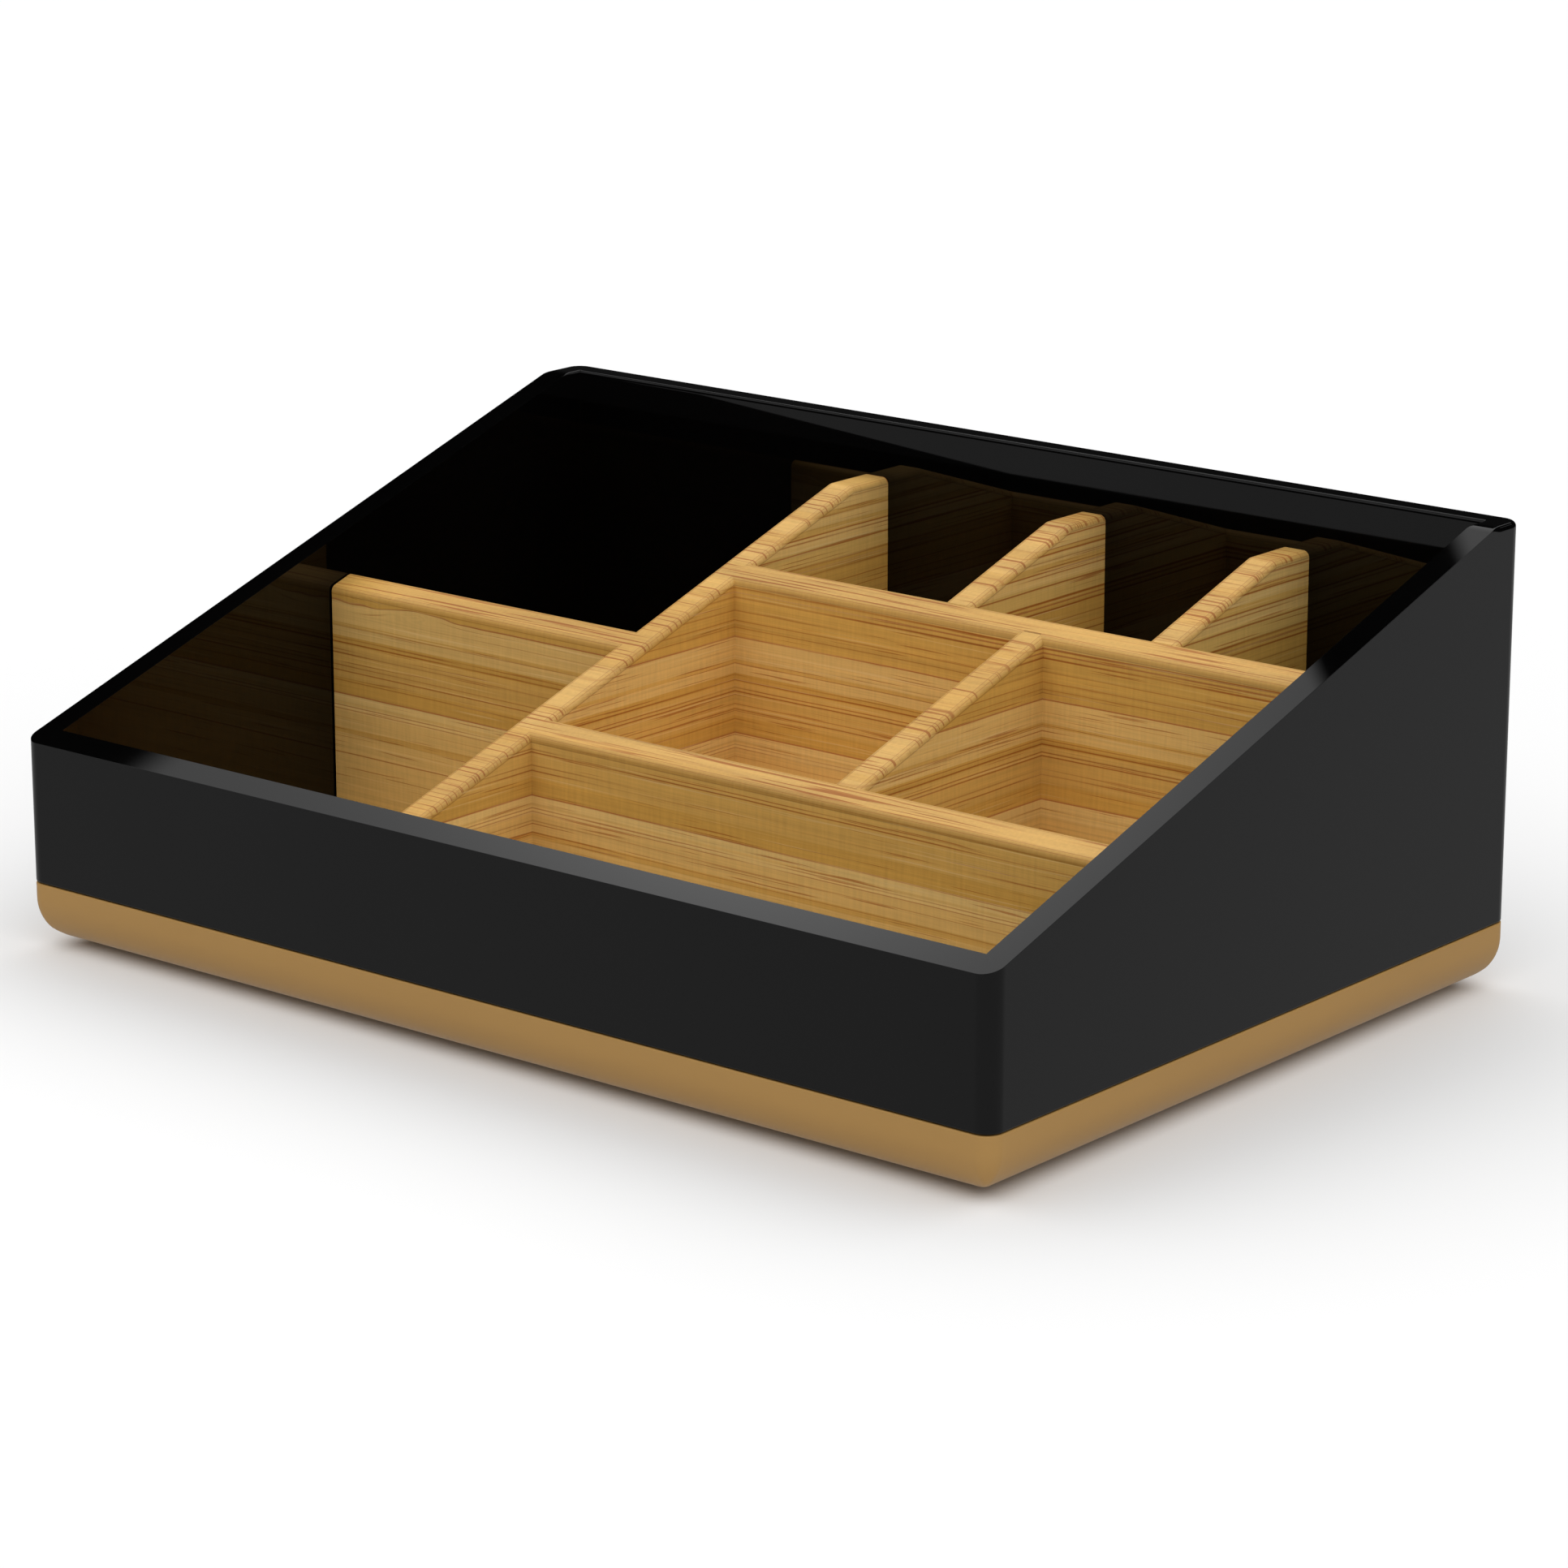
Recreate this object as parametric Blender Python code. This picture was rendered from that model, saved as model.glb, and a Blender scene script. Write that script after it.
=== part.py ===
"""Tabletop organizer: a black wedge-shaped case on a tan base, with a lift-out grid of wood dividers.

The low front faces -Y, +X runs along the front to the right and +Z is up. The origin lies on the
table, in the middle of the footprint. All sizes are in metres. Distances named "from the front" or
"from the left" start at the outer face of the case.
"""
import math

import bmesh
import bpy

# Driving dimensions of the case
case_width = 0.262
case_depth = 0.180
wall_thickness = 0.006
corner_radius = 0.004
front_rim_height = 0.0316
rear_rim_height = 0.0866
rear_band_depth = 0.0107
band_blend_radius = 0.013

# Driving dimensions of the base and the feet
base_height = 0.0134
base_edge_radius = 0.0099
base_corner_radius_least = 0.0012
foot_diameter = 0.014
foot_height = 0.0025
foot_proud = 0.001
foot_edge = 0.0004
foot_inset = 0.032

# The lap joint: the inner part of the shell's wall goes on down inside the base's rim, as a skirt.
# These are the skirt's share of the wall's thickness and its depth's share of the base's height
skirt_share = 0.5
skirt_depth_share = 0.55

# Driving dimensions of the corner lugs and their screws
lug_side = 0.016
screw_inset = 0.0095
shank_diameter = 0.003
head_diameter = 0.0058
head_height = 0.0020
head_edge = 0.0004
socket_across_flats = 0.002
socket_depth = 0.0012
counterbore_depth = 0.0026

# Driving dimensions of the floor panel and the divider grid
floor_thickness = 0.003
divider_thickness = 0.0075
divider_edge_radius = 0.0015
divider_drop = 0.0104
fin_drop = 0.0129
housing_depth = 0.002
left_bay_width = 0.0854
left_front_bay_depth = 0.0827
front_bay_depth = 0.0475
middle_bay_depth = 0.0591

# Shares of the room right of the long divider that its first middle bay, its first rear bay and
# its second rear bay take up
middle_bay_share = 0.489
rear_first_bay_share = 0.339
rear_second_bay_share = 0.293

# Clearances: between pieces that touch, round a screw's shank, past its end, and past a face that is cut
seat_gap = 0.0003
shank_gap = 0.0003
shank_end_gap = 0.0005
cut_overrun = 0.002

# Counts of facets
corner_steps = 8
edge_steps = 8
blend_steps = 6
divider_edge_steps = 4
round_steps = 32

# Heights above the table and places of the inner faces, worked out from the sizes above
base_bottom = foot_proud
seam = base_bottom + base_height
floor_bottom = seam - floor_thickness
seat_top = floor_bottom - seat_gap
grid_bottom = seam + seat_gap
skirt_depth = base_height * skirt_depth_share
skirt_inset = wall_thickness * (1 - skirt_share)
under_head = base_bottom + counterbore_depth - seat_gap
shank_length = seat_top - shank_end_gap - under_head
left_face = -case_width / 2
front_face = -case_depth / 2
inner_left = wall_thickness
inner_right = case_width - wall_thickness
inner_front = wall_thickness
inner_rear = case_depth - wall_thickness
rim_slope = (rear_rim_height - front_rim_height) / (case_depth - rear_band_depth)


def make_material(name, colour, roughness, metallic=0.0):
    """A Principled material with one colour, roughness and metallic value."""
    material = bpy.data.materials.new(name)
    material.use_nodes = True
    shader = material.node_tree.nodes["Principled BSDF"]
    shader.inputs["Base Color"].default_value = (*colour, 1.0)
    shader.inputs["Roughness"].default_value = roughness
    shader.inputs["Metallic"].default_value = metallic
    material.diffuse_color = (*colour, 1.0)
    return material


def add_object(name, bm, place, parent=None, material=None, smooth=False):
    """Turn a bmesh into a named object that stands at a place, under a parent."""
    bmesh.ops.recalc_face_normals(bm, faces=bm.faces)
    mesh = bpy.data.meshes.new(name)
    bm.to_mesh(mesh)
    bm.free()
    if smooth:
        mesh.shade_smooth()
        mesh.set_sharp_from_angle(angle=math.radians(30))
    piece = bpy.data.objects.new(name, mesh)
    bpy.context.collection.objects.link(piece)
    piece.location = place
    piece.parent = parent
    if material:
        mesh.materials.append(material)
    return piece


def add_cutter(name, bm, place):
    """An object that only shapes others: hidden in renders and drawn as wire."""
    cutter = add_object(name, bm, place)
    cutter.hide_render = True
    cutter.display_type = "WIRE"
    return cutter


def combine(piece, tool, operation):
    """Add an exact Boolean of the tool to the piece."""
    step = piece.modifiers.new(operation.lower() + "_" + tool.name, "BOOLEAN")
    step.operation = operation
    step.solver = "EXACT"
    step.object = tool


def rounded_outline(width, depth, radius, inset=0.0):
    """Corner arcs of a rectangle whose low corner is at zero, drawn in by an inset."""
    points = []
    bend = max(radius - inset, base_corner_radius_least)
    corners = ((inset, inset, 180), (width - inset, inset, 270),
               (width - inset, depth - inset, 0), (inset, depth - inset, 90))
    for x, y, start in corners:
        centre_x = x + bend if x < width / 2 else x - bend
        centre_y = y + bend if y < depth / 2 else y - bend
        for step in range(corner_steps + 1):
            angle = math.radians(start + 90 * step / corner_steps)
            points.append((centre_x + bend * math.cos(angle), centre_y + bend * math.sin(angle)))
    return points


def add_loft(bm, rings):
    """Join rings of as many points each with quads, and close both ends."""
    loops = [[bm.verts.new(point) for point in ring] for ring in rings]
    for low, high in zip(loops, loops[1:]):
        for index in range(len(low)):
            after = (index + 1) % len(low)
            bm.faces.new((low[index], low[after], high[after], high[index]))
    bm.faces.new(loops[0][::-1])
    bm.faces.new(loops[-1])


def add_prism(bm, outline, low, high):
    """An upright prism on an outline in X and Y."""
    add_loft(bm, [[(x, y, z) for x, y in outline] for z in (low, high)])


def add_box(bm, low, high):
    """A box between its low and its high corner."""
    outline = ((low[0], low[1]), (high[0], low[1]), (high[0], high[1]), (low[0], high[1]))
    add_prism(bm, outline, low[2], high[2])


def add_turned(bm, x, y, profile):
    """A round solid about an upright axis: each entry of the profile is a radius and a height.

    A radius may be a function of the angle, which gives a socket its flats.
    """
    rings = []
    for radius, height in profile:
        ring = []
        for step in range(round_steps):
            angle = math.tau * step / round_steps
            reach = radius(angle) if callable(radius) else radius
            ring.append((x + reach * math.cos(angle), y + reach * math.sin(angle), height))
        rings.append(ring)
    add_loft(bm, rings)


def add_sideways_prism(bm, profile, start, length):
    """A prism along +X on a closed profile in Y and Z; returns its two ends' vertices."""
    near = [bm.verts.new((start, y, z)) for y, z in profile]
    face = bm.faces.new(near)
    grown = bmesh.ops.extrude_face_region(bm, geom=[face])["geom"]
    far = [item for item in grown if isinstance(item, bmesh.types.BMVert)]
    bmesh.ops.translate(bm, vec=(length, 0, 0), verts=far)
    return near, far


# The rim: a slope that runs into a flat band along the back
rim_angle = math.atan(rim_slope)


def rim_line(from_front):
    """Height above the seam of the sloped rim, produced in both directions."""
    return front_rim_height + rim_slope * from_front


def rim_profile():
    """The rim from the front to the back, with the arc that blends the slope into the band."""
    tangent = band_blend_radius * math.tan(rim_angle / 2)
    centre_y = case_depth - rear_band_depth + tangent
    centre_z = rear_rim_height - band_blend_radius
    points = [(-cut_overrun, rim_line(-cut_overrun))]
    for step in range(blend_steps + 1):
        angle = rim_angle * (1 - step / blend_steps)
        points.append((centre_y - band_blend_radius * math.sin(angle),
                       centre_z + band_blend_radius * math.cos(angle)))
    points.append((case_depth + cut_overrun, rear_rim_height))
    return points


def corner_places(inset):
    """The four corners of the footprint, drawn in by an inset, with their names."""
    return (("front_left", inset, inset),
            ("front_right", case_width - inset, inset),
            ("rear_left", inset, case_depth - inset),
            ("rear_right", case_width - inset, case_depth - inset))


# The outer shell: four walls under a wedge-shaped rim, a skirt, and a lug in each bottom corner
def make_shell(parent, material):
    place = (left_face, front_face, seam)
    height = rear_rim_height + cut_overrun
    bm = bmesh.new()
    add_prism(bm, rounded_outline(case_width, case_depth, corner_radius), seat_gap, height)
    shell = add_object("outer_shell", bm, place, parent, material, smooth=True)

    bm = bmesh.new()
    add_box(bm, (skirt_inset, skirt_inset, -skirt_depth),
            (case_width - skirt_inset, case_depth - skirt_inset, front_rim_height / 2))
    combine(shell, add_cutter("shell_skirt_block", bm, place), "UNION")

    bm = bmesh.new()
    below = -skirt_depth - cut_overrun
    add_box(bm, (inner_left, inner_front, below), (inner_right, inner_rear, height + cut_overrun))
    combine(shell, add_cutter("shell_hollow_cutter", bm, place), "DIFFERENCE")

    bm = bmesh.new()
    profile = rim_profile()
    profile += [(case_depth + cut_overrun, height + cut_overrun), (-cut_overrun, height + cut_overrun)]
    add_sideways_prism(bm, profile, -cut_overrun, case_width + 2 * cut_overrun)
    combine(shell, add_cutter("shell_rim_cutter", bm, place), "DIFFERENCE")

    bm = bmesh.new()
    bury = wall_thickness * skirt_share / 2
    lug_top = seat_top - seam
    for name, x, y in corner_places(wall_thickness):
        toward_x = 1 if x < case_width / 2 else -1
        toward_y = 1 if y < case_depth / 2 else -1
        sides_x = sorted((x - toward_x * bury, x + toward_x * lug_side))
        sides_y = sorted((y - toward_y * bury, y + toward_y * lug_side))
        add_box(bm, (sides_x[0], sides_y[0], -skirt_depth), (sides_x[1], sides_y[1], lug_top))
    combine(shell, add_cutter("shell_lug_blocks", bm, place), "UNION")

    bm = bmesh.new()
    pilot_radius = shank_diameter / 2 + shank_gap
    for name, x, y in corner_places(wall_thickness + screw_inset):
        add_turned(bm, x, y, ((pilot_radius, below), (pilot_radius, lug_top + cut_overrun)))
    combine(shell, add_cutter("shell_pilot_cutter", bm, place), "DIFFERENCE")
    return shell


# The base: a board with a rounded lower edge. Its top is sunk inside a rim that takes the skirt, and
# the seat in the middle of it carries the floor panel
def make_base(parent, material):
    place = (left_face, front_face, base_bottom)
    bm = bmesh.new()
    rings = []
    for step in range(edge_steps + 1):
        angle = math.radians(90 * step / edge_steps)
        inset = base_edge_radius * (1 - math.sin(angle))
        height = base_edge_radius * (1 - math.cos(angle))
        outline = rounded_outline(case_width, case_depth, corner_radius, inset)
        rings.append([(x, y, height) for x, y in outline])
    top = rounded_outline(case_width, case_depth, corner_radius)
    rings.append([(x, y, base_height) for x, y in top])
    add_loft(bm, rings)
    base = add_object("base_board", bm, place, parent, material, smooth=True)

    bm = bmesh.new()
    rim = skirt_inset - seat_gap
    sunk = base_height - skirt_depth - seat_gap
    add_box(bm, (rim, rim, sunk), (case_width - rim, case_depth - rim, base_height + cut_overrun))
    combine(base, add_cutter("base_rim_cutter", bm, place), "DIFFERENCE")

    bm = bmesh.new()
    side = wall_thickness + seat_gap
    notch = wall_thickness + lug_side + seat_gap
    far_x = case_width - side
    far_y = case_depth - side
    notch_x = case_width - notch
    notch_y = case_depth - notch
    outline = ((notch, side), (notch_x, side), (notch_x, notch), (far_x, notch),
               (far_x, notch_y), (notch_x, notch_y), (notch_x, far_y), (notch, far_y),
               (notch, notch_y), (side, notch_y), (side, notch), (notch, notch))
    add_prism(bm, outline, sunk / 2, seat_top - base_bottom)
    combine(base, add_cutter("base_seat_block", bm, place), "UNION")

    bm = bmesh.new()
    shank_hole = shank_diameter / 2 + shank_gap
    head_hole = head_diameter / 2 + shank_gap
    for name, x, y in corner_places(wall_thickness + screw_inset):
        add_turned(bm, x, y, ((head_hole, -cut_overrun), (head_hole, counterbore_depth),
                              (shank_hole, counterbore_depth), (shank_hole, base_height + cut_overrun)))
    foot_hole = foot_diameter / 2 + seat_gap
    foot_seat = foot_height - foot_proud + seat_gap
    for name, x, y in corner_places(foot_inset):
        add_turned(bm, x, y, ((foot_hole, -cut_overrun), (foot_hole, foot_seat)))
    combine(base, add_cutter("base_hole_cutter", bm, place), "DIFFERENCE")
    return base


# The four screws, which hold the shell's lugs down on the base from below
def make_screws(parent, material):
    bm = bmesh.new()
    head = head_diameter / 2
    shank = shank_diameter / 2

    def socket(angle):
        sixth = math.tau / 6
        return socket_across_flats / 2 / math.cos(angle % sixth - sixth / 2)

    add_turned(bm, 0, 0, ((socket, socket_depth), (socket, 0), (head - head_edge, 0), (head, head_edge),
                          (head, head_height), (shank, head_height), (shank, head_height + shank_length)))
    first = None
    for name, x, y in corner_places(wall_thickness + screw_inset):
        place = (left_face + x, front_face + y, under_head - head_height)
        if first is None:
            first = add_object("base_screw_" + name, bm, place, parent, material, smooth=True)
        else:
            screw = bpy.data.objects.new("base_screw_" + name, first.data)
            bpy.context.collection.objects.link(screw)
            screw.location = place
            screw.parent = parent


# The four feet, soft discs let into the underside of the base
def make_feet(parent, material):
    radius = foot_diameter / 2
    for name, x, y in corner_places(foot_inset):
        bm = bmesh.new()
        add_turned(bm, 0, 0, ((radius - foot_edge, 0), (radius, foot_edge), (radius, foot_height)))
        add_object("foot_" + name, bm, (left_face + x, front_face + y, 0), parent, material, smooth=True)


# The floor panel, which covers the lugs and the seat, and ends flush with the seam
def make_floor(parent, material):
    bm = bmesh.new()
    low = (inner_left + seat_gap, inner_front + seat_gap, 0)
    high = (inner_right - seat_gap, inner_rear - seat_gap, floor_thickness)
    add_box(bm, low, high)
    add_object("floor_panel", bm, (left_face, front_face, floor_bottom), parent, material)


# The divider grid: slats that stand on the floor panel, housed in each other where they meet
def divider_top(from_front):
    """Height above the seam of a divider's top: parallel to the rim, then flat at the back."""
    return min(rim_line(from_front) - divider_drop, rear_rim_height - fin_drop)


fin_bend = (rear_rim_height - fin_drop - front_rim_height + divider_drop) / rim_slope


def add_divider(bm, left, right, front, rear, along_y, grow=0.0):
    """One slat with rounded top edges, in distances from the left and from the front.

    With grow it is its own housing's cutter, larger all round and longer at the bottom.
    """
    foot = grid_bottom - seam - (cut_overrun if grow else 0.0)
    left, right, front, rear = left - grow, right + grow, front - grow, rear + grow
    profile = [(front, foot), (rear, foot), (rear, divider_top(rear) + grow)]
    if front < fin_bend < rear:
        profile.append((fin_bend, divider_top(fin_bend) + grow))
    profile.append((front, divider_top(front) + grow))
    near, far = add_sideways_prism(bm, profile, left, right - left)
    ends = set(near), set(far)

    def is_top(vertex):
        return vertex.co.z > foot + divider_edge_radius

    def runs_along(edge):
        same_end = any(edge.verts[0] in end and edge.verts[1] in end for end in ends)
        rise = abs(edge.verts[0].co.y - edge.verts[1].co.y) > 0
        return same_end and rise if along_y else not same_end

    corners = [edge for edge in bm.edges if runs_along(edge) and all(is_top(v) for v in edge.verts)]
    bmesh.ops.bevel(bm, geom=corners, offset=divider_edge_radius + grow, offset_type="OFFSET",
                    segments=divider_edge_steps, profile=0.5, affect="EDGES")


def divider_spans():
    """Each divider's name, its left, right, front and rear face, its direction and its holders."""
    tongue = housing_depth - seat_gap
    wall_left = inner_left + seat_gap
    wall_right = inner_right - seat_gap
    wall_front = inner_front + seat_gap
    wall_rear = inner_rear - seat_gap
    long_left = inner_left + left_bay_width
    long_right = long_left + divider_thickness
    left_front = inner_front + left_front_bay_depth
    cross_front = inner_front + front_bay_depth
    cross_back = cross_front + divider_thickness
    rear_front = cross_back + middle_bay_depth
    rear_back = rear_front + divider_thickness
    room = inner_right - long_right
    middle_left = long_right + room * middle_bay_share
    fin_one = long_right + room * rear_first_bay_share
    fin_two = fin_one + divider_thickness + room * rear_second_bay_share
    return {
        "long_divider": (long_left, long_right, wall_front, wall_rear, True, ()),
        "left_cross_divider": (wall_left, long_left + tongue, left_front, left_front + divider_thickness,
                               False, ("long_divider",)),
        "front_cross_divider": (long_right - tongue, wall_right, cross_front, cross_back,
                                False, ("long_divider",)),
        "rear_cross_divider": (long_right - tongue, wall_right, rear_front, rear_back,
                               False, ("long_divider",)),
        "middle_short_divider": (middle_left, middle_left + divider_thickness, cross_back - tongue,
                                 rear_front + tongue, True, ("front_cross_divider", "rear_cross_divider")),
        "rear_short_divider_left": (fin_one, fin_one + divider_thickness, rear_back - tongue, wall_rear,
                                    True, ("rear_cross_divider",)),
        "rear_short_divider_right": (fin_two, fin_two + divider_thickness, rear_back - tongue, wall_rear,
                                     True, ("rear_cross_divider",)),
    }


def make_dividers(parent, material):
    place = (left_face, front_face, seam)
    spans = divider_spans()
    pieces = {}
    for name, (left, right, front, rear, along_y, holders) in spans.items():
        bm = bmesh.new()
        add_divider(bm, left, right, front, rear, along_y)
        bmesh.ops.translate(bm, vec=(-left, -front, 0), verts=bm.verts)
        corner = (place[0] + left, place[1] + front, place[2])
        pieces[name] = add_object(name, bm, corner, parent, material, smooth=True)
        if holders:
            bm = bmesh.new()
            add_divider(bm, left, right, front, rear, along_y, grow=seat_gap)
            cutter = add_cutter(name + "_housing_cutter", bm, place)
            for holder in holders:
                combine(pieces[holder], cutter, "DIFFERENCE")


def main():
    for item in list(bpy.data.objects):
        bpy.data.objects.remove(item, do_unlink=True)

    black = make_material("gloss_black", (0.006, 0.006, 0.006), 0.12)
    tan = make_material("tan_lacquer", (0.29, 0.17, 0.067), 0.45)
    wood = make_material("pale_wood", (0.42, 0.24, 0.08), 0.5)
    rubber = make_material("black_rubber", (0.012, 0.012, 0.012), 0.8)
    steel = make_material("screw_steel", (0.5, 0.5, 0.5), 0.35, 1.0)

    case = bpy.data.objects.new("case", None)
    grid = bpy.data.objects.new("divider_grid", None)
    for group in (case, grid):
        bpy.context.collection.objects.link(group)

    make_shell(case, black)
    make_base(case, tan)
    make_screws(case, steel)
    make_feet(case, rubber)
    make_floor(case, wood)
    make_dividers(grid, wood)


main()
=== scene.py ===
# %% [markdown]
# # Tabletop organizer: the looks
#
# The real object is a gloss black case with a sloped rim, on a satin tan base. Pale bamboo slats stand
# in it and make eight open bays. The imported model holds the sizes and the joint. This script loads it
# as a fixed frame, and gives it fine edges and real finishes. Everything is in metres, with +Z up.
#
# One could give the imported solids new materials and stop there. Their edges are sharp and coarse,
# though, and gloss black shows every facet, so the pieces that show are modelled again, in place.

import math

import bpy
import numpy as np
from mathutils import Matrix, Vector


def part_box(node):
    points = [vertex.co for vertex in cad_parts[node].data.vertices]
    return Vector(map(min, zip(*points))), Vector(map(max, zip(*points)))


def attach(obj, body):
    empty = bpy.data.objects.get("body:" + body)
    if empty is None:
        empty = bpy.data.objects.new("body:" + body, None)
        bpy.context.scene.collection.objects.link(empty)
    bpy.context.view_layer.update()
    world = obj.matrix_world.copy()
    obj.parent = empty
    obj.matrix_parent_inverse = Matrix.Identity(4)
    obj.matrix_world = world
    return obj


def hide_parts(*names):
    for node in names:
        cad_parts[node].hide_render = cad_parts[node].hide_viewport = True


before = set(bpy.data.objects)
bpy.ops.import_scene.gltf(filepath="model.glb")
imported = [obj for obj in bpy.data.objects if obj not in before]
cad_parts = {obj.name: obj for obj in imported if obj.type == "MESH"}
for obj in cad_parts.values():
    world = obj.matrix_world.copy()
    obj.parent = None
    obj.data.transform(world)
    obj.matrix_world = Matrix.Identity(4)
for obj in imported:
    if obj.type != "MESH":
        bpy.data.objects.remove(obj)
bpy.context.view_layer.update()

millimetre = 0.001

# %% [markdown]
# ## The camera
#
# The photograph was taken from the front right, a little above the rim, from over a metre away. A long
# lens keeps the long edges nearly parallel. The place and the direction come from fitting the case's
# straight edges. Aiming with `to_track_quat` is simpler than typing three angles.

# %% Set up the camera
camera_place = (0.68928, -0.82559, 0.34218)
camera_direction = Vector((-0.61342, 0.74205, -0.27034))
camera_lens_mm = 120.617
sensor_width_mm = 36.0

lens = bpy.data.cameras.new("photo_lens")
lens.sensor_width = sensor_width_mm
lens.lens = camera_lens_mm
camera = bpy.data.objects.new("photo_camera", lens)
camera.location = camera_place
camera.rotation_euler = camera_direction.to_track_quat("-Z", "Y").to_euler()
bpy.context.scene.collection.objects.link(camera)
bpy.context.scene.camera = camera
print("camera", round(Vector(camera_place).length, 3), "m from the middle of the base")

# %% [markdown]
# ## Meshes from arrays
#
# Every surface here is a grid of points worked out with numpy: rings of points, one ring for each
# station along a path. `add_surface` turns such a grid into a mesh. Rings always close on themselves.
# The row of rings may close too, as round a frame, or end in two flat caps, as on a slat.
#
# A grid is easy to get inside out. The signed volume tells: it is the sum, over all faces, of a face's
# point dotted with its normal times its area. If it is negative, the faces are turned round.

# %% Turn a grid of rings into a mesh
def grid_quads(rows, columns, rows_close):
    """Corner numbers of the grid's quads: each joins a point to the next in its ring and the next ring."""
    last = rows if rows_close else rows - 1
    row, column = np.meshgrid(np.arange(last), np.arange(columns), indexing="ij")
    next_row, next_column = (row + 1) % rows, (column + 1) % columns
    quads = np.stack([row * columns + column, row * columns + next_column,
                      next_row * columns + next_column, next_row * columns + column], axis=-1)
    return quads.reshape(-1, 4)


def signed_volume(points, quads):
    """Sum of (a dot (b cross c)) / 6 over the quads' triangles, positive when they face outwards."""
    a, b, c, d = (points[quads[:, corner]] for corner in range(4))
    first = np.einsum("ij,ij->i", a, np.cross(b, c))
    second = np.einsum("ij,ij->i", a, np.cross(c, d))
    return (first.sum() + second.sum()) / 6


def circle(stations):
    """Points round a circle of radius 1: (cos, sin) of even angles."""
    turn = np.linspace(0, math.tau, stations, endpoint=False)
    return np.stack([np.cos(turn), np.sin(turn)], axis=1)


def lifted(plan, height):
    """The points of a flat plan, at a height."""
    return np.concatenate([plan, np.full((len(plan), 1), height)], axis=1)


def grid_solid(rings, rows_close=False):
    """Points and faces of one closed solid from rings of points, an array of rows x columns x 3."""
    rows, columns = rings.shape[:2]
    points = rings.reshape(-1, 3)
    quads = grid_quads(rows, columns, rows_close)
    faces = quads.tolist()
    if not rows_close:
        faces += [list(range(columns))[::-1], list(range((rows - 1) * columns, rows * columns))]
    turned = signed_volume(points - points.mean(axis=0), quads) < 0
    return points, [face[::-1] for face in faces] if turned else faces


sharp_angle = math.radians(40)


def add_surface(name, solids, material):
    """One mesh object from several closed solids, shaded smooth but for its sharp edges."""
    points, faces = [], []
    for solid_points, solid_faces in solids:
        start = sum(len(some) for some in points)
        points.append(solid_points)
        faces += [[start + corner for corner in face] for face in solid_faces]
    mesh = bpy.data.meshes.new(name)
    mesh.from_pydata(np.concatenate(points).tolist(), [], faces)
    mesh.validate()
    mesh.shade_smooth()
    mesh.set_sharp_from_angle(angle=sharp_angle)
    mesh.materials.append(material)
    piece = bpy.data.objects.new(name, mesh)
    bpy.context.scene.collection.objects.link(piece)
    print(f"{name}: {len(mesh.vertices)} points, {len(mesh.polygons)} faces")
    return piece


# %% [markdown]
# ## Small tools for materials
#
# Shader nodes can be wired by hand, one line for each link. Short helpers read more like a formula:
# each takes sockets or plain numbers and gives back the socket that holds the result. The sky and all
# materials are wired with them.

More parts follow.
